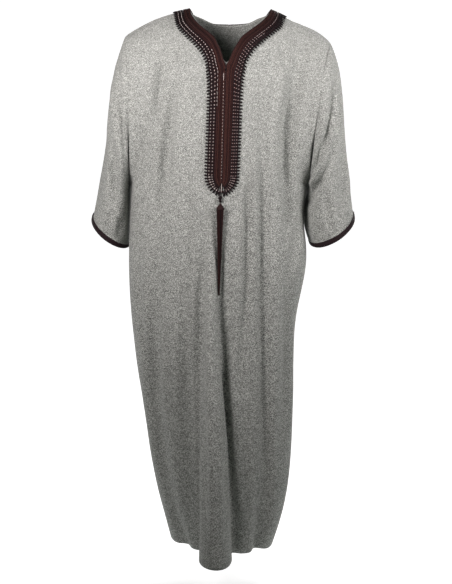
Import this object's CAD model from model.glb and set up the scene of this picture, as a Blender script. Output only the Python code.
import math

import bmesh
import bpy
import numpy as np
from mathutils import Matrix, Vector, noise
from mathutils.bvhtree import BVHTree
from mathutils.kdtree import KDTree


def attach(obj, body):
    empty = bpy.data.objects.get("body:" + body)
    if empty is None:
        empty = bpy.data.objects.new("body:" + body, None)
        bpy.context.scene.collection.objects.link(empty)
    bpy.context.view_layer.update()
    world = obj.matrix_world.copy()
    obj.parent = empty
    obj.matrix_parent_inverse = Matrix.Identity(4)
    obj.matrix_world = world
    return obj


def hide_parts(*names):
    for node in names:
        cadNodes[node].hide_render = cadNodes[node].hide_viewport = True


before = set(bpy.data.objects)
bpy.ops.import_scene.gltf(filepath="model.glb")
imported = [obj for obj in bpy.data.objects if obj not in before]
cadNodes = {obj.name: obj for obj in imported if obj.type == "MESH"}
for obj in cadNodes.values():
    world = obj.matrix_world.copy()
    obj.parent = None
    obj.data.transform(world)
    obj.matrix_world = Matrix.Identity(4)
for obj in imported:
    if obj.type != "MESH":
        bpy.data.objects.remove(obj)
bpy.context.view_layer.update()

print("frame loaded:", len(cadNodes), "nodes")


# shader maths: a socket that takes part in Python expressions
class Wire:
    def __init__(self, look, socket):
        self.look = look
        self.socket = socket

    def calc(self, operation, *terms):
        return self.look.node("ShaderNodeMath", {"operation": operation}, dict(enumerate(terms)))

    def __add__(self, other):
        return self.calc("ADD", self, other)

    def __sub__(self, other):
        return self.calc("SUBTRACT", self, other)

    def __rsub__(self, other):
        return self.calc("SUBTRACT", other, self)

    def __mul__(self, other):
        return self.calc("MULTIPLY", self, other)

    __radd__ = __add__
    __rmul__ = __mul__

    def floor(self):
        return self.calc("FLOOR", self)

    # rounded ribs, so many to the metre
    def ribs(self, count):
        return self.calc("ABSOLUTE", self.calc("SINE", self * (count * math.pi)))

    # 0 below low, 1 above high, with soft ends
    def between(self, low, high):
        return self.look.node("ShaderNodeMapRange", {"interpolation_type": "SMOOTHSTEP"},
                              {"Value": self, "From Min": low, "From Max": high})


class Look:
    def __init__(self, name, **sockets):
        self.material = bpy.data.materials.new(name)
        self.material.use_nodes = True
        self.tree = self.material.node_tree
        self.shader = self.tree.nodes["Principled BSDF"]
        for socket, value in sockets.items():
            self.shader.inputs[socket.replace("_", " ")].default_value = value

    def plug(self, socket, value):
        if isinstance(value, Wire):
            self.tree.links.new(value.socket, socket)
        elif isinstance(value, (tuple, list)) and socket.type == "RGBA":
            socket.default_value = (*value[:3], 1.0)
        else:
            socket.default_value = value

    def node(self, kind, settings=None, sockets=None, out=0):
        made = self.tree.nodes.new(kind)
        for key, value in (settings or {}).items():
            setattr(made, key, value)
        for key, value in (sockets or {}).items():
            self.plug(made.inputs[key], value)
        return Wire(self, made.outputs[out])

    # inputs 6 and 7 and output 2 are the node's colour sockets
    def mix(self, share, first, second):
        return self.node("ShaderNodeMix", {"data_type": "RGBA"}, {0: share, 6: first, 7: second}, out=2)

    # one axis of a place, by default the place on the piece itself
    def axis(self, index, place=None):
        place = place or self.node("ShaderNodeTexCoord", out="Object")
        return self.node("ShaderNodeSeparateXYZ", {}, {0: place}, out=index)

    # the piece's own map, in metres of cloth
    def weaveMap(self):
        place = self.node("ShaderNodeUVMap", {"uv_map": "clothMap"})
        return self.axis(0, place), self.axis(1, place)

    # metres below the shoulders
    def drop(self):
        return self.axis(2) * -1.0

    # 1 round the neck, fading out above the V
    def byNeck(self):
        return 1 - self.drop().between(0.0, 0.12)

    def speckle(self, x, y, detail=0.0, z=0.0):
        place = self.node("ShaderNodeCombineXYZ", {}, {0: x, 1: y, 2: z})
        return self.node("ShaderNodeTexNoise", {}, {"Vector": place, "Scale": 1.0, "Detail": detail})

    def finish(self, colour, bump, depth, strength):
        self.plug(self.shader.inputs["Base Color"], colour)
        normal = self.node("ShaderNodeBump", {}, {"Height": bump, "Distance": depth, "Strength": strength})
        self.plug(self.shader.inputs["Normal"], normal)
        return self.material


# grey melange cloth: each yarn changes tone along its length, light flecks on a darker ground
greyCloth = {
    "ground": (0.244, 0.261, 0.241),
    "dark": (0.054, 0.058, 0.054),
    "fleck": (0.61, 0.64, 0.593),
    "mottle": (0.20, 0.205, 0.19),
    "yarns": 980,           # yarns that show to the metre of cloth
    "weftSlubs": 700,       # changes of tone to the metre along a weft yarn
    "warpSlubs": 600,
    "longSlubs": 24,        # now and then a weft yarn stays pale for longer
    "pressed": 0.78,        # yarns' contrast at the shoulders, where the cloth is pressed smooth
    "open": 0.80,           # added to it towards the hem
    "middle": 0.515,        # the weave's middle tone, which contrast leaves alone
    "threads": 1150,        # threads to the metre, for the fine relief
}


def makeClothLook(name, recipe):
    look = Look(name, Roughness=0.86, Sheen_Weight=0.12, Sheen_Roughness=0.45, Specular_IOR_Level=0.25)
    u, v = look.weaveMap()
    yarns, middle = recipe["yarns"], recipe["middle"]
    sway = look.speckle(u * 14, v * 14, z=2.2) * 0.004
    weftYarn = ((v + sway) * yarns).floor() * 7.31
    warpYarn = ((u + sway) * yarns).floor() * 7.31
    weft = look.speckle(u * recipe["weftSlubs"], weftYarn, 1.0)
    warp = look.speckle(warpYarn, v * recipe["warpSlubs"], 1.0, z=7.3)
    slub = look.speckle(u * 60, weftYarn, z=5.9)
    mottle = look.speckle(u * 9, v * 6, 2.0, z=1.7)
    longSlub = look.speckle(u * recipe["longSlubs"], weftYarn, z=11.3).between(0.64, 0.74)
    contrast = look.drop().between(0.05, 0.85) * recipe["open"] + recipe["pressed"]
    weave = (weft * 0.40 + warp * 0.55 + slub * 0.05 - middle) * contrast + middle
    darkYarn = 1 - weave.between(0.40, 0.51)
    lightYarn = weave.between(0.50, 0.64)
    tone = look.mix(darkYarn * 0.9, recipe["ground"], recipe["dark"])
    tone = look.mix(lightYarn, tone, recipe["fleck"])
    tone = look.mix(longSlub * 0.16, tone, recipe["fleck"])
    tone = look.mix((mottle - 0.5) * 0.5 + 0.25, tone, look.mix(0.5, tone, recipe["mottle"]))
    threads = u.ribs(recipe["threads"]) * v.ribs(recipe["threads"])
    return look.finish(tone, bump=threads * 0.5 + weave * 1.6, depth=0.0004, strength=0.8)


# the trim is darker round the neck than down the placket
neckShade = 0.8

# flat braid, cuff binding and the net under the teeth: ribs and cross threads count to the metre
darkTrims = {
    "flatBraid": {"light": (0.046, 0.014, 0.012), "dark": (0.014, 0.004, 0.004),
                  "ribs": 430, "lean": 0.0, "cross": 900},
    "cuffBinding": {"light": (0.017, 0.007, 0.009), "dark": (0.003, 0.0016, 0.002),
                    "ribs": 300, "lean": 0.8, "cross": 500},
    "trimNet": {"light": (0.030, 0.012, 0.012), "dark": (0.007, 0.003, 0.004),
                "ribs": 520, "lean": 0.0, "cross": 520},
}


def makeTrimLook(name, recipe):
    look = Look(name, Roughness=0.65, Sheen_Weight=0.02, Sheen_Roughness=0.4, Specular_IOR_Level=0.16)
    u, v = look.weaveMap()
    ribs = (u + v * recipe["lean"]).ribs(recipe["ribs"])
    cross = v.ribs(recipe["cross"])
    fleck = look.speckle(u * 700, v * 300, 1.0)
    shade = (ribs * 0.55 + cross * 0.2 + fleck * 0.5).between(0.25, 1.05)
    colour = look.mix(shade, recipe["dark"], recipe["light"])
    colour = look.mix(look.byNeck() * neckShade, colour, recipe["dark"])
    return look.finish(colour, bump=ribs * 0.7 + cross * 0.5 + fleck * 0.4, depth=0.0005, strength=0.9)


# cords, strands and threads: light and dark tone
cordTones = {
    "blackCord": ((0.009, 0.0035, 0.004), (0.0025, 0.001, 0.0015)),
    "maroonCord": ((0.034, 0.011, 0.010), (0.009, 0.003, 0.003)),
    "wineCord": ((0.058, 0.020, 0.018), (0.017, 0.006, 0.005)),
    "umberCord": ((0.026, 0.009, 0.008), (0.007, 0.0026, 0.0026)),
    "russetCord": ((0.066, 0.024, 0.018), (0.020, 0.007, 0.006)),
    "paleThread": ((0.66, 0.60, 0.56), (0.36, 0.31, 0.29)),
    "mauveThread": ((0.50, 0.42, 0.40), (0.26, 0.19, 0.18)),
}


def makeCordLook(name, tones):
    look = Look(name, Roughness=0.6, Specular_IOR_Level=0.15)
    place = look.node("ShaderNodeTexCoord", out="Object")
    fibre = look.node("ShaderNodeTexNoise", {}, {"Vector": place, "Scale": 900.0, "Detail": 2.0})
    twist = look.node("ShaderNodeTexWave", {"bands_direction": "DIAGONAL"},
                      {"Vector": place, "Scale": 260.0, "Distortion": 2.0, "Detail": 1.0}, out="Fac")
    colour = look.mix((fibre * 0.6 + twist * 0.5).between(0.2, 0.9), tones[1], tones[0])
    if name.endswith("Cord"):       # pale threads keep their tone up to the neck
        colour = look.mix(look.byNeck() * neckShade, colour, tones[1])
    return look.finish(colour, bump=twist * 0.8 + fibre * 0.4, depth=0.0003, strength=0.7)


clothLook = makeClothLook("greyMelangeCloth", greyCloth)
braidLook, bindingLook, netLook = (makeTrimLook(name, recipe) for name, recipe in darkTrims.items())
cordLooks = {name: makeCordLook(name, tones) for name, tones in cordTones.items()}
print("materials made")


def pickOnly(*pieces):
    bpy.ops.object.select_all(action="DESELECT")
    for piece in pieces:
        piece.select_set(True)
    bpy.context.view_layer.objects.active = pieces[0]


def applyModifier(piece, name, kind, **settings):
    pickOnly(piece)
    modifier = piece.modifiers.new(name, kind)
    for key, value in settings.items():
        setattr(modifier, key, value)
    bpy.ops.object.modifier_apply(modifier=name)


def subdivide(piece, levels=2):
    applyModifier(piece, "finer", "SUBSURF", levels=levels, render_levels=levels,
                  boundary_smooth="PRESERVE_CORNERS")


# smooth faces, look, slot and body of a finished piece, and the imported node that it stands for
def dressAs(piece, look, nodeName=None):
    pickOnly(piece)
    bpy.ops.object.shade_smooth()
    piece.data.materials.clear()
    piece.data.materials.append(look)
    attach(piece, "root")
    if nodeName:
        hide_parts(nodeName)


def turnFacesOut():
    bpy.ops.object.mode_set(mode="EDIT")
    bpy.ops.mesh.select_all(action="SELECT")
    bpy.ops.mesh.normals_make_consistent(inside=False)
    bpy.ops.object.mode_set(mode="OBJECT")


def joinUp(parts, name):
    pickOnly(*parts)
    bpy.ops.object.join()
    piece = bpy.context.active_object
    piece.name = piece.data.name = name
    bpy.ops.object.transform_apply(location=True, rotation=True, scale=True)
    return piece


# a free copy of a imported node, welded and made of quads; it is left in edit mode
def copyNode(nodeName, name):
    pickOnly(cadNodes[nodeName])
    bpy.ops.object.duplicate()
    piece = bpy.context.active_object
    piece.name = piece.data.name = name
    piece.parent = None
    for key in list(piece.keys()):
        del piece[key]
    bpy.ops.object.mode_set(mode="EDIT")
    bpy.ops.mesh.select_mode(type="FACE")
    bpy.ops.mesh.select_all(action="SELECT")
    bpy.ops.mesh.customdata_custom_splitnormals_clear()
    bpy.ops.mesh.remove_doubles(threshold=0.00001)
    bpy.ops.mesh.tris_convert_to_quads(face_threshold=math.pi, shape_threshold=math.pi)
    return piece


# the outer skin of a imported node, as an open sheet; farOut finds a face that is surely on it
def skinOf(nodeName, name, farOut):
    skin = copyNode(nodeName, name)
    bpy.ops.mesh.select_all(action="DESELECT")
    shape = bmesh.from_edit_mesh(skin.data)
    seed = max(shape.faces, key=lambda face: farOut(face.calc_center_median(), face.normal))
    seed.select_set(True)
    bmesh.update_edit_mesh(skin.data)
    bpy.ops.mesh.faces_select_linked_flat(sharpness=math.radians(64))
    bpy.ops.mesh.select_all(action="INVERT")
    bpy.ops.mesh.delete(type="FACE")
    bpy.ops.object.mode_set(mode="OBJECT")
    return skin


def readAll(items, what, size=1, kind=float):
    values = np.zeros(len(items) * size, kind)
    items.foreach_get(what, values)
    return values.reshape(-1, size) if size > 1 else values


# points and normals of a mesh
def meshArrays(piece):
    return readAll(piece.data.vertices, "co", 3), readAll(piece.data.vertex_normals, "vector", 3)


def setPoints(piece, co):
    piece.data.vertices.foreach_set("co", co.ravel())
    piece.data.update()


# scales and turns the map so that it is in metres, with V up the cloth
def squareUpMap(skin):
    data = skin.data
    loops = data.uv_layers.active.data
    uv = readAll(loops, "uv", 2)
    height = readAll(data.vertices, "co", 3)[readAll(data.loops, "vertex_index", kind=int), 2]
    flatArea = 0.0
    for face in data.polygons:
        ring = uv[list(face.loop_indices)]
        after = np.roll(ring, 1, axis=0)
        flatArea += abs(ring[:, 0] @ after[:, 1] - ring[:, 1] @ after[:, 0]) / 2
    uv = uv * math.sqrt(sum(face.area for face in data.polygons) / flatArea)
    middle = uv.mean(axis=0)
    up = ((uv - middle) * (height - height.mean())[:, None]).sum(axis=0)
    up = up / np.linalg.norm(up)
    turned = np.stack([(uv - middle) @ np.array([up[1], -up[0]]), (uv - middle) @ up], axis=1)
    loops.foreach_set("uv", turned.ravel())


def freshMap(piece):
    while piece.data.uv_layers:
        piece.data.uv_layers.remove(piece.data.uv_layers[0])
    return piece.data.uv_layers.new(name="clothMap")


def mapCloth(skin, seamSide=None):
    pickOnly(skin)
    freshMap(skin)
    bpy.ops.object.mode_set(mode="EDIT")
    if seamSide:
        markSeam(skin, seamSide)
    bpy.ops.mesh.select_all(action="SELECT")
    bpy.ops.uv.unwrap(method="ANGLE_BASED", margin=0.0)
    bpy.ops.object.mode_set(mode="OBJECT")
    squareUpMap(skin)


# a seam along the sleeve's under line, so that its tube can lie flat
def markSeam(skin, under):
    shape = bmesh.from_edit_mesh(skin.data)
    here = min((vert for vert in shape.verts if vert.is_boundary), key=lambda vert: under(vert.co))
    edge = next(edge for edge in here.link_edges if not edge.is_boundary)
    while edge:
        edge.seam = True
        here = edge.other_vert(here)
        beside = set(edge.link_faces)
        edge = next((near for near in here.link_edges if not beside & set(near.link_faces)), None)
    bmesh.update_edit_mesh(skin.data)


def softStep(values, low, high):
    part = np.clip((values - low) / (high - low), 0.0, 1.0)
    return part * part * (3 - 2 * part)


def treeOf(points):
    tree = KDTree(len(points))
    for index, point in enumerate(points):
        tree.insert(point, index)
    tree.balance()
    return tree


def distanceTo(tree, co):
    return np.array([tree.find(point)[2] for point in co])


# how far the hand-placed creases carry each point in or out. A crease is a path seen from the front
# or back, its half width and its depth, all in millimetres: a trough is below 0, a ridge above, and
# both have soft lips
def creaseDepths(co, normals, creases, facing):
    total = np.zeros(len(co))
    turned = softStep(normals[:, 1] * facing, 0.02, 0.35)
    for path, width, depth in creases:
        points = np.array(path) / 1000
        lengths = np.hypot(*np.diff(points, axis=0).T)
        run = np.concatenate([[0.0], np.cumsum(lengths)])
        best = np.full(len(co), 9.0)
        place = np.zeros(len(co))
        flat = co[:, (0, 2)]
        for index, length in enumerate(lengths):
            way = (points[index + 1] - points[index]) / length
            along = np.clip((flat - points[index]) @ way, 0.0, length)
            away = np.linalg.norm(flat - points[index] - along[:, None] * way, axis=1)
            nearer = away < best
            best = np.where(nearer, away, best)
            place = np.where(nearer, run[index] + along, place)
        taper = np.sin(math.pi * np.clip(place / run[-1], 0.0, 1.0)) ** 0.6
        spread = best / width * 1000
        fold = np.exp(-spread ** 2) - 0.32 * np.exp(-((spread - 1.75) / 0.75) ** 2)
        total += depth / 1000 * taper * fold * turned
    return total


# gentle unevenness, longer down the cloth than across it
def handle(co, amount, seed):
    broad = np.array([noise.noise(Vector((x * 13 + seed, y * 13, z * 5))) for x, y, z in co])
    fine = np.array([noise.noise(Vector((x * 34, y * 34 + seed, z * 12))) for x, y, z in co])
    return (broad * 0.7 + fine * 0.3) * amount


trimNodes = ("braid_right", "braid_left", "picot_border_right", "picot_border_left")
trimTree = treeOf([vert.co for name in trimNodes for vert in cadNodes[name].data.vertices])

clothWall = {
    "thickness": 0.0016,
    "seamSink": 0.0012,
    "seamWidth": 0.0046,
    "armholeSink": 0.0045,                      # added round the armholes, between these heights
    "armhole": (-0.36, -0.29, -0.10, -0.05),
    "hem": 0.03,                                # the hem's own edge doesn't sink
    "creaseEnd": (0.010, 0.030),                # creases die out this near the trim
    "seamEnd": (0.006, 0.012),                  # and sunken seams this near
    "unevenness": 0.0022,
}

# creases of the front, from the wearer's right (-x) to the left: path in x and z, half width, depth
frontCreases = [
    ([(-146, -95), (-155, -171), (-164, -250)], 12, -9.2),
    ([(-118, -130), (-126, -200), (-140, -330), (-154, -470)], 12, -8.5),
    ([(-86, -74), (-87, -125)], 7, -5.5),
    ([(-109, -62), (-116, -125)], 8, -4.3),
    ([(-100, -160), (-104, -280), (-112, -400)], 13, 4.9),
    ([(-60, -160), (-61, -280), (-59, -420)], 9, -6.7),
    ([(-70, -105), (-74, -160)], 6, -1.8),
    ([(-195, -250), (-190, -400)], 13, -5.5),
    ([(-171, -480), (-194, -610), (-193, -660), (-198, -750)], 13, 4.9),
    ([(-212, -560), (-207, -700), (-202, -800)], 8, -5.5),
    ([(-201, -735), (-199, -800)], 5, -6.1),
    ([(-174, -690), (-175, -800), (-174, -946), (-152, -1130)], 15, -10),
    ([(-128, -560), (-122, -760), (-118, -900)], 14, 3.7),
    ([(-100, -640), (-96, -860), (-92, -1120), (-88, -1290)], 15, -3.6),
    ([(-57, -900), (-53, -1060), (-50, -1250)], 10, -8.5),
    ([(-83, -360), (-84, -520), (-86, -640)], 10, -4.9),
    ([(-52, -410), (-54, -580), (-58, -780), (-56, -980)], 11, -7.6),
    ([(-14, -520), (-10, -700), (-4, -800), (1, -960), (4, -1200)], 8, -8.5),
    ([(12, -800), (20, -930), (25, -1060), (28, -1200)], 13, 8.5),
    ([(24, -520), (20, -640), (18, -760)], 10, 3.7),
    ([(49, -300), (50, -480), (50, -618), (45, -700), (34, -822), (29, -940)], 9, -8.5),
    ([(68, -300), (68, -480), (66, -640)], 9, 3.2),
    ([(83, -190), (84, -400), (86, -618), (94, -904), (102, -1073), (100, -1260)], 10, -9.5),
    ([(120, -400), (122, -560), (124, -680), (131, -920)], 14, 4.4),
    ([(143, -640), (146, -860), (142, -1060)], 12, -6.8),
    ([(84, -80), (84, -122)], 6, -3.7),
    ([(104, -70), (110, -150)], 8, -2.4),
    ([(122, -62), (138, -109), (152, -155)], 9, -4.3),
    ([(172, -80), (166, -122), (151, -190), (140, -262), (137, -400)], 15, -9.8),
    ([(150, -200), (146, -290), (144, -370), (149, -440), (155, -510)], 12, -7.3),
    ([(185, -230), (180, -340)], 10, 3.7),
    ([(176, -470), (168, -530), (152, -610)], 10, -5.5),
    ([(118, -200), (116, -330)], 12, -2.7),
    # drag lines across the skirt
    ([(-156, -660), (-95, -640), (-30, -622)], 6, -1.7),
    ([(-140, -758), (-85, -742), (-30, -731)], 6, -1.7),
    ([(-175, -860), (-110, -842)], 7, -1.6),
    ([(-149, -1029), (-105, -1015), (-70, -1004)], 6, -1.8),
    ([(34, -979), (90, -945), (140, -916)], 7, -2),
    ([(40, -780), (100, -752), (150, -742)], 6, -1.6),
    ([(34, -1158), (78, -1132), (118, -1106)], 6, -1.7),
    ([(-130, -1200), (-80, -1188)], 6, -1.7),
    ([(56, -560), (110, -520)], 7, -1.6),
]

backCreases = [
    ([(-150, -110), (-146, -230), (-138, -380)], 14, -5),
    ([(148, -115), (142, -250), (132, -400)], 13, -4.8),
    ([(-60, -70), (-64, -140)], 9, -2.2),
    ([(75, -72), (80, -150)], 9, -2.4),
    ([(-190, -300), (-180, -440), (-184, -540)], 11, -4.6),
    ([(176, -330), (164, -470), (160, -560)], 11, -4.4),
    ([(-120, -440), (-128, -640), (-126, -820)], 11, -4),
    ([(-45, -300), (-46, -520), (-42, -760)], 13, -3.4),
    ([(28, -340), (26, -560), (22, -780)], 12, -3.8),
    ([(110, -500), (108, -720), (104, -930)], 11, -4.2),
    ([(-160, -700), (-158, -940), (-140, -1160)], 12, -4.6),
    ([(138, -660), (132, -900), (126, -1150)], 11, -4.4),
    ([(-18, -860), (-14, -1060), (-12, -1280)], 10, -3.6),
    ([(95, -1000), (90, -1160), (84, -1290)], 10, -4),
    ([(-170, -620), (-100, -604)], 6, -1.4),
    ([(20, -640), (90, -622)], 6, -1.4),
    ([(-150, -900), (-95, -884)], 6, -1.3),
    ([(60, -1060), (120, -1036)], 6, -1.5),
]

# how far a sleeve's under side hangs in against the body, from height to height, in metres
sleeveLean = {
    "right": [(-0.385, 0.0), (-0.415, 0.0042), (-0.460, 0.0042), (-0.500, 0.0024), (-0.535, 0.0)],
    "left": [(-0.380, 0.0), (-0.415, 0.0036), (-0.480, 0.0046), (-0.515, 0.0050), (-0.545, 0.0)],
}

sleeveCreases = {
    ("right", "front"): [
        ([(-254, -96), (-251, -191), (-241, -286), (-231, -330)], 5.5, -10.5),
        ([(-268, -120), (-263, -200), (-253, -270), (-238, -325)], 5.5, -9.5),
        ([(-260, -140), (-256, -210), (-247, -280)], 5, 5),
        ([(-262, -300), (-266, -380), (-270, -450)], 9, -6.7),
        ([(-290, -260), (-300, -370), (-312, -450)], 11, -5.1),
        ([(-281, -200), (-288, -300)], 10, 3.9),
        ([(-255, -470), (-262, -520)], 7, -4.5),
    ],
    ("right", "back"): [
        ([(-256, -150), (-252, -260), (-254, -360)], 11, -7.5),
        ([(-284, -220), (-296, -360)], 11, -5.1),
        ([(-262, -400), (-276, -500)], 9, -5.4),
    ],
    ("left", "front"): [
        ([(260, -110), (250, -200), (236, -280), (216, -360)], 7, -7.2),
        ([(272, -150), (264, -240), (252, -310), (236, -370)], 6, -5.2),
        ([(262, -150), (254, -230), (241, -300)], 5, 3.6),
        ([(226, -270), (218, -315), (210, -355)], 6, -6.6),
        ([(238, -300), (226, -345), (212, -380), (190, -410)], 6.5, 9),
        ([(234, -345), (220, -388), (204, -420), (186, -450)], 8, -10),
        ([(278, -240), (282, -330), (280, -420), (276, -480)], 10, -6),
        ([(240, -400), (244, -490)], 8, -4.8),
        ([(290, -330), (300, -430)], 8, 3.9),
    ],
    ("left", "back"): [
        ([(258, -140), (246, -250), (236, -350)], 11, -7.5),
        ([(282, -230), (290, -360)], 10, -5.1),
        ([(236, -400), (246, -490)], 8, -5.4),
    ],
}


# seams sink in a little, more round the armholes, and creases die out at seams and under the trim
def dressCloth(skin, nodeName, creases, seed, levels=2, seamFade=0.016):
    subdivide(skin, levels)
    co, normals = meshArrays(skin)
    shape = bmesh.new()
    shape.from_mesh(skin.data)
    rim = [vert.co.copy() for vert in shape.verts if vert.is_boundary]
    shape.free()
    hemTop = min(point.z for point in rim) + clothWall["hem"]
    seams = [point for point in rim if point.z > hemTop]
    fromSeam = distanceTo(treeOf(seams), co)
    fromTrim = distanceTo(trimTree, co)
    free = softStep(fromSeam, 0.001, seamFade) * softStep(fromTrim, *clothWall["creaseEnd"])
    move = handle(co, clothWall["unevenness"], seed)
    for facing, paths in creases:
        move = move + creaseDepths(co, normals, paths, facing)
    low, lowFull, highFull, high = clothWall["armhole"]
    byArmhole = softStep(co[:, 2], low, lowFull) * (1.0 - softStep(co[:, 2], highFull, high))
    sink = clothWall["seamSink"] + clothWall["armholeSink"] * byArmhole
    furrow = sink * np.exp(-(fromSeam / clothWall["seamWidth"]) ** 2)
    furrow = furrow * softStep(fromTrim, *clothWall["seamEnd"])
    setPoints(skin, co + normals * (move * free - furrow)[:, None])
    applyModifier(skin, "wall", "SOLIDIFY", thickness=clothWall["thickness"], offset=-1.0)
    dressAs(skin, clothLook, nodeName)
    area = sum(face.area for face in skin.data.polygons) / 2
    print(skin.name, len(skin.data.polygons), "faces, area", round(area, 3))


# brings a sleeve's under side in against the body
def leanIn(skin, side, heights):
    co = meshArrays(skin)[0]
    z, lean = np.array(heights[::-1]).T
    level = np.round(co[:, 2] / 0.01)
    innermost = {step: (co[level == step, 0] * side).min() for step in np.unique(level)}
    apart = co[:, 0] * side - np.array([innermost[step] for step in level])
    co[:, 0] -= side * np.interp(co[:, 2], z, lean) * (1.0 - softStep(apart, 0.002, 0.034))
    setPoints(skin, co)


frontCloth = skinOf("front_panel", "front_cloth", lambda at, normal: -at.y)
mapCloth(frontCloth)
dressCloth(frontCloth, "front_panel", [(-1, frontCreases)], 1.0)

backCloth = skinOf("back_panel", "back_cloth", lambda at, normal: at.y)
mapCloth(backCloth)
dressCloth(backCloth, "back_panel", [(1, backCreases)], 4.0)

for word, side in (("right", -1), ("left", 1)):
    sleeve = skinOf("sleeve_" + word, "sleeve_cloth_" + word,
                    lambda at, normal: side * normal.x - abs(at.z + 0.3))
    mapCloth(sleeve, seamSide=lambda at: at.z + abs(at.y - 0.02))
    leanIn(sleeve, side, sleeveLean[word])
    creases = [(-1, sleeveCreases[word, "front"]), (1, sleeveCreases[word, "back"])]
    dressCloth(sleeve, "sleeve_" + word, creases, 7.0 + side, levels=3, seamFade=0.007)

# the cloth's outer face, for what lies against it
frontTree = BVHTree.FromPolygons([vert.co for vert in frontCloth.data.vertices],
                                 [face.vertices for face in frontCloth.data.polygons])


def clothFront(x, z):
    hit = frontTree.ray_cast(Vector((x, -1.0, z)), Vector((0.0, 1.0, 0.0)))[0]
    return hit.y if hit else 0.0


def inFront(x, z, radius):
    return min(clothFront(x + radius * part, z) for part in (-1.0, -0.5, 0.0, 0.5, 1.0)) - radius


# the trim. Distances across a half run from its toothed rim (0) to its inner rim (43.5), in millimetres,
# and rows are counted along it from the back of the neck; the rest is in metres
trimPlan = {
    "netEdge": 16.5,
    "width": 43.5,
    "netCut": 9.0,         # where the net's cloth starts; only the teeth reach further out
    "cords": (9.4, 16.8, 23.8),
    "cordRadius": 0.00062,
    "ribs": {
        "right": {"maroonCord": (28.6, 34.6, 37.6, 42.9), "russetCord": (31.6, 40.6)},
        "left": {"maroonCord": (28.6, 34.6, 42.9), "russetCord": (31.6, 37.6, 40.6)},
    },
    "ribRadius": 0.00078,
    "turn": 0.0052,        # length of one turn of a two-ply cord
    "toothPitch": 0.0074,
    "backGap": 0.0009,     # each half reaches this much further at the back, to meet the other
    "neckRow": 27.0,       # up to here it lies round the neck, near the shoulders
    "endRow": 54.0,        # from here it turns round its lower end
    "lastRungRow": 58.0,
    "footRow": 59.0,       # where the spokes below the placket have their feet
}


# a strip's inner and outer rails, each from the back of the neck to the trim's rounded end
def railsOf(strip):
    shape = bmesh.new()
    shape.from_mesh(strip.data)
    corners = [vert for vert in shape.verts if len(vert.link_edges) == 2]
    start = max(corners, key=lambda vert: vert.co.z if vert.co.y > 0.0 else -9.0)
    loop = [start]
    edge = start.link_edges[0]
    vert = edge.other_vert(start)
    while vert != start:
        loop.append(vert)
        edge = next(near for near in vert.link_edges if near.is_boundary and near != edge)
        vert = edge.other_vert(vert)
    if len(loop[2].link_edges) == 2:
        loop = loop[:1] + loop[:0:-1]
    rows = len(shape.verts) // 3
    inner = np.array([vert.co for vert in loop[:rows]])
    outer = np.array([vert.co for vert in loop[rows + 1:2 * rows + 1]])[::-1]
    shape.free()
    return inner, outer


def runOf(points):
    return np.concatenate([[0.0], np.cumsum(np.linalg.norm(np.diff(points, axis=0), axis=1))])


# maps a strip in metres (U across, V along), closes it at the back and can pull its outer rim in
def mapStrip(strip, side, inner, outer, pull=0.0):
    rows = len(inner)
    run = runOf((inner + outer) / 2)
    width = np.linalg.norm(outer - inner, axis=1).mean()
    tree = treeOf(np.concatenate([inner, (inner + outer) / 2, outer]))
    places = [divmod(tree.find(vert.co)[1], rows) for vert in strip.data.vertices]
    layer = freshMap(strip)
    for loop in strip.data.loops:
        column, row = places[loop.vertex_index]
        layer.data[loop.index].uv = (column / 2 * width, run[row])
    for vert, (column, row) in zip(strip.data.vertices, places):
        vert.co = vert.co.lerp(Vector(inner[row]), pull * column / 2)
        if row == 0:
            vert.co.x -= side * trimPlan["backGap"]


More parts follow.
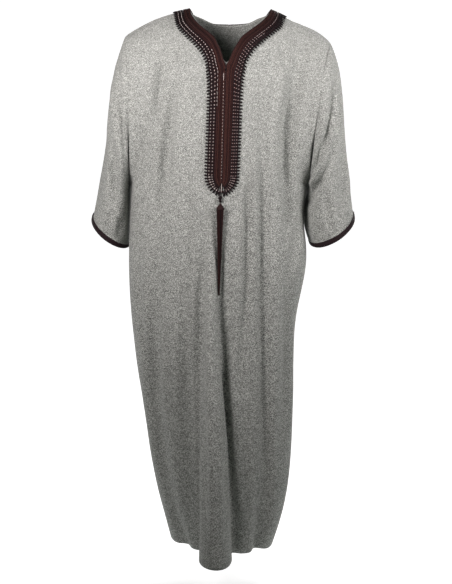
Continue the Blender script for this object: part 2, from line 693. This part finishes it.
# one half of the trim, with lines along it at a distance in from its toothed rim
class TrimHalf:
    def __init__(self, word, side):
        self.word = word
        self.side = side
        self.net = skinOf("picot_border_" + word, "trim_net_" + word, lambda at, normal: -at.y - normal.y)
        self.band = skinOf("braid_" + word, "trim_braid_" + word, lambda at, normal: -at.y - normal.y)
        self.netRails = railsOf(self.net)
        self.bandRails = railsOf(self.band)

    def line(self, distance):
        edge = trimPlan["netEdge"]
        if distance < edge:
            inner, outer = self.netRails
            share = distance / edge
        else:
            inner, outer = self.bandRails
            share = (distance - edge) / (trimPlan["width"] - edge)
        points = outer + (inner - outer) * share
        points[0, 0] -= self.side * trimPlan["backGap"]
        return points, inner - outer

    # frames at rows of the strip, which may fall between two: point, along, inward, outward
    def framesAt(self, distance, rows, lift=0.0):
        points, across = self.line(distance)
        last = len(points) - 1

        def pick(values, where):
            return np.array([np.interp(where, np.arange(last + 1), column) for column in values.T]).T

        rows = np.clip(rows, 0.0, last)
        at = pick(points, rows)
        inward = pick(across, rows)
        along = pick(points, np.minimum(rows + 0.3, last)) - pick(points, np.maximum(rows - 0.3, 0.0))
        along /= np.linalg.norm(along, axis=1)[:, None]
        out = np.cross(inward, along)
        out /= np.linalg.norm(out, axis=1)[:, None]
        out *= np.sign((out * (at - np.array([0.0, 0.0, -0.25]))).sum(axis=1))[:, None]
        square = np.cross(out, along)
        inward = square * np.sign((square * inward).sum(axis=1))[:, None]
        return at + out * lift, along, inward, out

    # rows evenly spaced along one line, from one length to another; an end up to 0 is counted back
    # from the line's own end
    def spaced(self, distance, pitch, start=0.0, end=0.0):
        run = runOf(self.line(distance)[0])
        stop = end if end > 0 else run[-1] + end
        count = max(round((stop - start) / pitch), 1)
        lengths = start + (np.arange(count) + 0.5) * (stop - start) / count
        return np.interp(lengths, run, np.arange(len(run)))

    def frames(self, distance, pitch, start=0.0, end=0.0, lift=0.0):
        return self.framesAt(distance, self.spaced(distance, pitch, start, end), lift)

    # place of a short cord across the strip, from one (distance, row, lift) to another
    def shortCord(self, near, far, wide, high):
        ends = [self.framesAt(distance, [row], lift) for distance, row, lift in (near, far)]
        first, second = (end[0][0] for end in ends)
        out = ends[0][3][0]
        long = np.linalg.norm(second - first)
        along = (second - first) / long
        return (first + second) / 2, np.cross(out, along), along, out, (wide, long, high)


trimHalves = {word: TrimHalf(word, side) for word, side in (("right", -1), ("left", 1))}


def thickenStrip(strip, thickness):
    subdivide(strip)
    applyModifier(strip, "wall", "SOLIDIFY", thickness=thickness, offset=-1.0)
    applyModifier(strip, "softEdge", "BEVEL", width=0.0003, segments=2, limit_method="ANGLE")


for half in trimHalves.values():
    mapStrip(half.net, half.side, *half.netRails, pull=trimPlan["netCut"] / trimPlan["netEdge"])
    thickenStrip(half.net, 0.0011)
    dressAs(half.net, netLook, "picot_border_" + half.word)
    mapStrip(half.band, half.side, *half.bandRails)
    thickenStrip(half.band, 0.0013)
    dressAs(half.band, braidLook, "braid_" + half.word)
print("trim strips laid")


# cords drawn as curves, one for each line of points; fat holds each point's share of the radius
def drawCords(name, lines, radius, sides=1, fat=None):
    curve = bpy.data.curves.new(name, "CURVE")
    curve.dimensions = "3D"
    curve.bevel_depth = radius
    curve.bevel_resolution = sides
    curve.use_fill_caps = True
    for index, points in enumerate(lines):
        spline = curve.splines.new("POLY")
        spline.points.add(len(points) - 1)
        spline.points.foreach_set("co", np.insert(points, 3, 1.0, axis=1).ravel())
        if fat is not None:
            spline.points.foreach_set("radius", fat[index])
    cords = bpy.data.objects.new(name, curve)
    bpy.context.scene.collection.objects.link(cords)
    pickOnly(cords)
    bpy.ops.object.convert(target="MESH")
    turnFacesOut()
    return bpy.context.active_object


# cords along lines of the trim, each of two plies wound round each other, every other one the other way
def twistCords(half, name, distances, radius):
    lines = []
    for index, distance in enumerate(distances):
        at, _, inward, out = half.frames(distance, trimPlan["turn"] / 6, lift=radius * 1.2)
        turn = np.arange(len(at))[:, None] * math.pi / 3 * (1 if index % 2 else -1)
        for ply in (0.0, math.pi):
            lines.append(at + (inward * np.cos(turn + ply) + out * np.sin(turn + ply)) * radius * 0.85)
    return drawCords(name + "_" + half.word, lines, radius)


for half in trimHalves.values():
    cords = twistCords(half, "trim_cords", trimPlan["cords"], trimPlan["cordRadius"])
    dressAs(cords, cordLooks["blackCord"])
    ribCount = 0
    for tone, distances in trimPlan["ribs"][half.word].items():
        ribs = twistCords(half, "trim_ribs_" + tone[:-4], distances, trimPlan["ribRadius"])
        dressAs(ribs, cordLooks[tone])
        ribCount += len(ribs.data.polygons)
    print("cords", half.word, len(cords.data.polygons), ribCount, "faces")


# copies of one small model, joined into one piece; a place is (point, width way, length way, out, sizes)
def scatter(model, name, places, look):
    copies = []
    for at, across, along, out, (wide, long, high) in places:
        twin = model.copy()
        twin.data = model.data.copy()
        bpy.context.scene.collection.objects.link(twin)
        columns = [np.array(across) * wide, np.array(along) * long, np.array(out) * high, at]
        twin.matrix_world = Matrix([*np.transpose(columns).tolist(), (0.0, 0.0, 0.0, 1.0)])
        copies.append(twin)
    bpy.context.view_layer.update()
    piece = joinUp(copies, name)
    turnFacesOut()
    dressAs(piece, look)


# a ball one unit across, with its poles along the length way
def smallBall(name, segments, rings):
    bpy.ops.mesh.primitive_uv_sphere_add(segments=segments, ring_count=rings, radius=0.5,
                                         location=(0.0, 0.0, 0.0), rotation=(math.pi / 2, 0.0, 0.0))
    bpy.ops.object.transform_apply(location=False, rotation=True, scale=False)
    bpy.context.active_object.name = name
    return bpy.context.active_object


# one stitch of thread, and one tooth of the border: a blunt cord end, wider towards its tip
stitch = smallBall("stitch_model", 6, 5)
tooth = smallBall("tooth_model", 8, 6)
for vert in tooth.data.vertices:
    vert.co.x *= 1.0 - vert.co.y * 0.3
    vert.co.y *= 1.0 + 0.16 * (1.0 - abs(vert.co.x) * 2) if abs(vert.co.y) < 0.45 else 0.97

# the teeth are the outer ends of short cords across the net. Round the trim's end they are long spokes
for half in trimHalves.values():
    half.toothRows = half.spaced(4.0, trimPlan["toothPitch"])
    teeth = []
    rungs = []
    for index, row in enumerate(half.toothRows):
        turned = max(row - trimPlan["endRow"], 0.0) / 5
        uneven = noise.noise(Vector((index * 0.7, half.side * 3.0, 0.0)))
        tip = 2.0 - 5.5 * turned + 0.9 * uneven
        root = 11.0 + 8.0 * turned
        teeth.append(half.shortCord((tip, row, 0.0004), (root, row, 0.0009), 0.0040, 0.0024))
        farRow = min(row, trimPlan["lastRungRow"])
        for near, far in ((9.0, 16.4), (16.6, 26.0 + 12.0 * turned)):
            rungs.append(half.shortCord((near, row, 0.0008), (far, farRow, 0.0008), 0.0030, 0.0020))
    scatter(tooth, "trim_teeth_" + half.word, teeth, cordLooks["blackCord"])
    scatter(tooth, "trim_rungs_" + half.word, rungs, cordLooks["blackCord"])


def onBothHalves(distance, row):
    return [Vector(half.framesAt(distance, [row])[0][0]) for half in trimHalves.values()]


# spokes that close the trim below the placket's end, with pale threads between them
endTop = sum(onBothHalves(42.5, trimPlan["endRow"]), Vector()) / 2
endFeet = onBothHalves(10.0, trimPlan["footRow"])
endLines = {"spokes": [], "threads": []}
for kind, shares, wide, lift in (("spokes", (-0.1, 0.14, 0.38, 0.62, 0.86, 1.1), 0.0046, 0.0012),
                                 ("threads", (0.26, 0.74), 0.0008, 0.0022)):
    for share in shares:
        foot = endFeet[0].lerp(endFeet[1], share)
        top = endTop + Vector(((share - 0.5) * (endFeet[1].x - endFeet[0].x) * 0.45, 0.0, 0.001))
        for end in (foot, top):
            end.y = clothFront(end.x, end.z) - lift
        if kind == "threads":
            top = top.lerp(foot, 0.45)
        way = foot - top
        along = way.normalized()
        out = Vector((0.0, -1.0, 0.0))
        endLines[kind].append(((top + foot) / 2, along.cross(out), along, out, (wide, way.length, 0.0022)))
scatter(tooth, "trim_end_spokes", endLines["spokes"], cordLooks["blackCord"])


# pale stitches between the rungs: distance in from the teeth, share of the rows from and to, width,
# length, and whether they lie across the strip
paleRows = {
    "right": [
        (13.2, 0.0, 1.0, 0.0015, 0.0030, False),
        (20.3, 0.0, 0.96, 0.0015, 0.0030, False),
        (26.4, 0.54, 0.70, 0.0009, 0.0062, False),
    ],
    "left": [
        (12.8, 0.50, 1.0, 0.0015, 0.0026, True),
        (17.6, 0.44, 0.96, 0.0015, 0.0026, True),
        (22.4, 0.0, 0.96, 0.0015, 0.0024, True),
    ],
}
for word, rows in paleRows.items():
    half = trimHalves[word]
    between = (half.toothRows[1:] + half.toothRows[:-1]) / 2
    places = []
    for distance, start, end, wide, long, crosswise in rows:
        some = between[int(start * len(between)):int(end * len(between))]
        at, along, inward, out = half.framesAt(distance, some, 0.0012)
        for index in range(len(at)):
            ways = (along[index], inward[index]) if crosswise else (inward[index], along[index])
            uneven = 1.0 + 0.35 * noise.noise(Vector((index * 1.3, distance, half.side)))
            size = (wide, long * uneven, 0.0014)
            if some[index] < trimPlan["neckRow"]:       # near the shoulders they run on as a thin line
                ways = (inward[index], along[index])
                size = (0.0009, 0.0064 * uneven, 0.0012)
            places.append((at[index], *ways, out[index], size))
    # longer ones between the spokes
    some = between[(between > trimPlan["endRow"]) & (between < trimPlan["lastRungRow"] + 0.3)]
    at, along, inward, out = half.framesAt(15.0, some, 0.0009)
    places += [(*place, (0.0013, 0.0080, 0.0012)) for place in zip(at, along, inward, out)]
    if word == "right":
        places += endLines["threads"]
    thread = cordLooks["paleThread" if word == "right" else "mauveThread"]
    scatter(stitch, "trim_stitches_" + word, places, thread)

# the closure: small pale loops down the middle of the placket, which draw in to it downwards, and a
# longer stitch at its top. Lengths run from the neck's V, or back from the trim's end if below 0
closurePlan = {
    "vHeight": -0.119,
    "loops": {"pitch": 0.0073, "from": 0.026, "to": -0.006, "lift": 0.0018,
              "aside": (0.0026, 0.0), "size": (0.0016, 0.0025, 0.0014)},
    "topStitch": {"pitch": 0.0056, "from": 0.006, "to": 0.023, "lift": 0.0021,
                  "aside": (0.0030, 0.0030), "size": (0.0012, 0.0062, 0.0014)},
}
half = trimHalves["right"]
closureLine = trimPlan["width"] - 0.4
points = half.line(closureLine)[0]
vRun = runOf(points)[np.argmax((points[:, 1] < 0) & (points[:, 2] < closurePlan["vHeight"]))]
places = []
for row in (closurePlan["loops"], closurePlan["topStitch"]):
    end = vRun + row["to"] if row["to"] > 0 else row["to"]
    at, along, inward, out = half.frames(closureLine, row["pitch"], vRun + row["from"], end, row["lift"])
    aside = np.linspace(*row["aside"], len(at))[:, None]
    places += [(*place, row["size"]) for place in zip(at - inward * aside, inward, along, out)]
scatter(stitch, "closure_stitches", places, cordLooks["paleThread"])
print("teeth and stitches set")


# knots: a core with cord wound round it, turned a different way each time
knotPlan = {
    "neck_knot": {"radius": 0.0027, "cord": 0.0010},
    "bead_upper": {"radius": 0.0050, "cord": 0.0014},
    "bead_lower": {"radius": 0.0033, "cord": 0.0011},
}
windings = ((0.0, 0.5, 0.2), (0.9, -0.4, 0.0), (-0.9, 0.3, 0.5), (1.45, 0.0, 1.1))
coreShare = 0.84        # of the knot's radius
cordShare = 0.72


def cordRing(centre, radius, cord, segments, turn=(0.0, 0.0, 0.0)):
    bpy.ops.mesh.primitive_torus_add(major_radius=radius, minor_radius=cord, major_segments=segments,
                                     minor_segments=8, location=centre, rotation=turn)
    return bpy.context.active_object


def makeKnot(nodeName, radius, cord):
    box = [cadNodes[nodeName].matrix_world @ Vector(corner) for corner in cadNodes[nodeName].bound_box]
    centre = sum(box, Vector()) / 8
    bpy.ops.mesh.primitive_uv_sphere_add(segments=16, ring_count=10, radius=radius * coreShare,
                                         location=centre)
    parts = [bpy.context.active_object]
    parts += [cordRing(centre, radius * cordShare, cord, 22, turn) for turn in windings]
    dressAs(joinUp(parts, "corded_" + nodeName), cordLooks["blackCord"], nodeName)
    return centre


knotCentres = {name: makeKnot(name, **plan) for name, plan in knotPlan.items()}

# the loop of cord that the beads and the tassel hang from, from above one bead to below the other
loopPlan = {"over": 0.010, "under": 0.004, "apart": 0.0016, "bow": 0.0030, "steps": 12, "radius": 0.0008}
upper, lower = knotCentres["bead_upper"], knotCentres["bead_lower"]
loopTop = upper.z + loopPlan["over"]
loopLines = []
for side in (-1, 1):
    points = []
    for step in range(loopPlan["steps"] + 1):
        part = step / loopPlan["steps"]
        z = loopTop + (lower.z - loopPlan["under"] - loopTop) * part
        x = upper.x + side * loopPlan["apart"] * math.cos(part * math.pi * 1.5)
        points.append((x, inFront(x, z, 0.0012) - 0.0006 - loopPlan["bow"] * math.sin(part * math.pi), z))
    loopLines.append(np.array(points))
dressAs(drawCords("tassel_loop", loopLines, loopPlan["radius"]), cordLooks["blackCord"])

# the tassel: a wound head with a pointed top, and strands that draw together to a fine tip
tasselPlan = {
    "strands": 96,
    "steps": 28,
    "top": 0.0083,          # radius below the head and at the tip
    "end": 0.0017,
    "strand": 0.0006,
    "inHead": 0.010,        # how deep the strands start in the head
    "tip": 0.016,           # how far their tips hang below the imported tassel
    "aside": 0.0035,
    "turn": 2.39996,        # from strand to strand, so that they fill the round evenly
}
tasselHeights = [corner[2] for corner in cadNodes["tassel"].bound_box]
strandTop = max(tasselHeights) - tasselPlan["inHead"]
tasselEnd = min(tasselHeights) - tasselPlan["tip"]


def tasselCentre(part):
    z = strandTop + (tasselEnd - strandTop) * part
    radius = tasselPlan["top"] + (tasselPlan["end"] - tasselPlan["top"]) * part ** 0.9
    x = lower.x - tasselPlan["aside"] * part
    return Vector((x, inFront(x, z, radius + 0.0008) - 0.0005, z)), radius


tasselPath = [tasselCentre(step / tasselPlan["steps"]) for step in range(tasselPlan["steps"] + 1)]
strandLines = {"wineCord": [], "blackCord": []}
for index in range(tasselPlan["strands"]):
    ring = math.sqrt((index + 0.5) / tasselPlan["strands"])
    turn = index * tasselPlan["turn"]
    ends = 1.0 - 0.10 * abs(noise.noise(Vector((index * 1.7, 0.0, 4.0))))
    points = []
    for step, (centre, radius) in enumerate(tasselPath):
        part = step / tasselPlan["steps"]
        stray = 0.12 * part * noise.noise(Vector((index * 2.1, part * 3.0, 1.0)))
        angle = turn + 0.4 * part + stray
        away = (ring + stray) * radius * (1.0 if step else 0.8)
        offset = Vector((math.cos(angle), math.sin(angle), 0.0)) * away
        points.append(centre.lerp(tasselPath[0][0], (1.0 - ends) * part) + offset)
    strandLines["blackCord" if index % 5 in (1, 3) else "wineCord"].append(np.array(points))
strands = []
for tone, lines in strandLines.items():
    fat = [[1.0] * (len(points) - 2) + [0.85, 0.45] for points in lines]
    part = drawCords("tassel_strands_" + tone[:-4], lines, tasselPlan["strand"], sides=0, fat=fat)
    dressAs(part, cordLooks[tone], None if strands else "tassel")
    strands.append(part)

# the head is turned from half its outline: heights and radii in millimetres, from the top
headOutline = [(0.0, 0.5), (-2.2, 1.2), (-4.4, 2.6), (-6.8, 4.6), (-9.2, 6.9), (-11.6, 8.4), (-14.0, 8.8),
               (-16.4, 8.4), (-17.0, 7.3)]
headCords = [(-3.4, 2.0), (-5.4, 3.5), (-7.4, 5.3), (-15.2, 8.7), (-16.7, 8.2)]
headCentre = tasselPath[0][0] + Vector((0.0, 0.0, tasselPlan["inHead"]))
bpy.ops.mesh.primitive_cylinder_add(vertices=28, radius=1.0, depth=1.0, end_fill_type="NOTHING",
                                    location=(0.0, 0.0, 0.0))
tasselHead = bpy.context.active_object
bpy.ops.object.mode_set(mode="EDIT")
shape = bmesh.from_edit_mesh(tasselHead.data)
ringsWanted = len(headOutline)
upright = [edge for edge in shape.edges if abs(edge.verts[0].co.z - edge.verts[1].co.z) > 0.5]
bmesh.ops.subdivide_edges(shape, edges=upright, cuts=ringsWanted - 2, use_grid_fill=True)
for vert in shape.verts:
    low, wide = headOutline[round((0.5 - vert.co.z) * (ringsWanted - 1))]
    way = Vector((vert.co.x, vert.co.y, 0.0)).normalized()
    vert.co = way * wide / 1000 + Vector((0.0, 0.0, low / 1000))
bmesh.ops.holes_fill(shape, edges=[edge for edge in shape.edges if edge.is_boundary])
bmesh.update_edit_mesh(tasselHead.data)
bpy.ops.object.mode_set(mode="OBJECT")
tasselHead.location = headCentre
headParts = [tasselHead] + [cordRing(headCentre + Vector((0.0, 0.0, low / 1000)), wide / 1000, 0.0008, 28)
                            for low, wide in headCords]
dressAs(joinUp(headParts, "tassel_head"), cordLooks["umberCord"])
print("knots and tassel hung:", sum(len(part.data.polygons) for part in strands), "strand faces")

# the cuffs' binding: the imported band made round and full, mapped round its own axle
bandPlan = {"fullness": 0.0017}


def dressBand(word):
    band = copyNode("cuff_band_" + word, "cuff_binding_" + word)
    turnFacesOut()
    co = meshArrays(band)[0]
    fromMiddle = co - co.mean(axis=0)
    first, second, axle = np.linalg.svd(fromMiddle, full_matrices=False)[2]
    turn = np.arctan2(fromMiddle @ second, fromMiddle @ first)
    around = np.hypot(fromMiddle @ second, fromMiddle @ first)
    layer = freshMap(band)
    for face in band.data.polygons:
        turns = [turn[vertex] for vertex in face.vertices]
        for loop, vertex in zip(face.loop_indices, face.vertices):
            angle = turn[vertex] + (2 * math.pi if max(turns) - turn[vertex] > math.pi else 0.0)
            layer.data[loop].uv = (fromMiddle[vertex] @ axle + around[vertex] - around.mean(),
                                   angle * around.mean())
    subdivide(band)
    co, normals = meshArrays(band)
    setPoints(band, co + normals * bandPlan["fullness"])
    dressAs(band, bindingLook, "cuff_band_" + word)
    return band


cuffBands = {word: dressBand(word) for word in ("right", "left")}
print("cuffs bound:", [len(band.data.polygons) for band in cuffBands.values()])

for model in (tooth, stitch):
    bpy.data.objects.remove(model)

cameraPlan = {"place": (0.0, -2.3, -0.28), "downwards": 9.4, "sensor": 36.0, "lens": 36.0 * 929 / 584}
camera = bpy.data.objects.new("camera", bpy.data.cameras.new("camera"))
bpy.context.collection.objects.link(camera)
camera.location = cameraPlan["place"]
camera.rotation_euler = (math.radians(90 - cameraPlan["downwards"]), 0.0, 0.0)
camera.data.sensor_fit = "VERTICAL"
camera.data.sensor_height = cameraPlan["sensor"]
camera.data.lens = cameraPlan["lens"]
bpy.context.scene.camera = camera

studio = {
    "floorHeight": -1.42, "floorSize": 9.0, "wallHeight": 6.0, "bend": 2.4,
    "tone": (0.5, 0.5, 0.5), "glow": 0.9, "nearGlow": (0.03, 0.03, 0.03), "glowDepth": (-0.28, 0.04),
    "sky": (0.048, 0.056, 0.048),
}
lamps = {
    "key": {"place": (-0.72, -1.06, 0.14), "aim": (0.02, -0.05, -0.10), "size": 0.45,
            "power": 10.6, "spread": 114, "tone": (1.0, 0.917, 0.934)},
    "fill": {"place": (1.10, -0.66, 0.14), "aim": (0.02, -0.05, -0.17), "size": 0.6,
             "power": 7.6, "spread": 106, "tone": (1.0, 0.927, 0.944)},
    "rim": {"place": (0.7, 2.0, 1.0), "aim": (0.0, 0.0, -0.4), "size": 1.6,
            "power": 30, "spread": 180, "tone": (1.0, 1.0, 1.0)},
}


def addLamp(name, recipe):
    lamp = bpy.data.objects.new(name, bpy.data.lights.new(name, "AREA"))
    bpy.context.collection.objects.link(lamp)
    lamp.location = recipe["place"]
    aim = Vector(recipe["aim"]) - lamp.location
    lamp.rotation_euler = aim.to_track_quat("-Z", "Y").to_euler()
    lamp.data.size = recipe["size"]
    lamp.data.spread = math.radians(recipe["spread"])
    lamp.data.energy = recipe["power"]
    lamp.data.color = recipe["tone"]


# one pale sweep, floor and wall, that glows more towards the back
def sweepLook():
    look = Look("paleSweep", Base_Color=(*studio["tone"], 1.0), Roughness=0.9,
                Emission_Strength=studio["glow"])
    far = look.axis(1).between(*studio["glowDepth"])
    glow = look.mix(far, studio["nearGlow"], (1.0, 1.0, 1.0))
    look.plug(look.shader.inputs["Emission Color"], glow)
    return look.material


# selects the one edge that scores highest
def pickEdge(piece, score):
    bpy.ops.mesh.select_all(action="DESELECT")
    shape = bmesh.from_edit_mesh(piece.data)
    max(shape.edges, key=score).select_set(True)
    bmesh.update_edit_mesh(piece.data)


bpy.ops.mesh.primitive_plane_add(size=studio["floorSize"], location=(0.0, 0.6, studio["floorHeight"]))
floor = bpy.context.active_object
floor.name = "floor"
bpy.ops.object.mode_set(mode="EDIT")
bpy.ops.mesh.select_mode(type="EDGE")
pickEdge(floor, lambda edge: edge.verts[0].co.y + edge.verts[1].co.y)       # the back edge
bpy.ops.mesh.extrude_region_move(TRANSFORM_OT_translate={"value": (0.0, 0.0, studio["wallHeight"])})
pickEdge(floor, lambda edge: not edge.is_boundary)                          # where floor and wall meet
bpy.ops.mesh.bevel(offset=studio["bend"], segments=16, affect="EDGES")
bpy.ops.object.mode_set(mode="OBJECT")
bpy.ops.object.transform_apply(location=True, rotation=True, scale=True)
bpy.ops.object.shade_smooth()
floor.data.materials.append(sweepLook())
for name, recipe in lamps.items():
    addLamp(name, recipe)
world = bpy.data.worlds.new("studio")
bpy.context.scene.world = world
world.use_nodes = True
world.node_tree.nodes["Background"].inputs["Color"].default_value = (*studio["sky"], 1.0)
bpy.context.scene.view_settings.view_transform = "Standard"
print("camera and studio set")
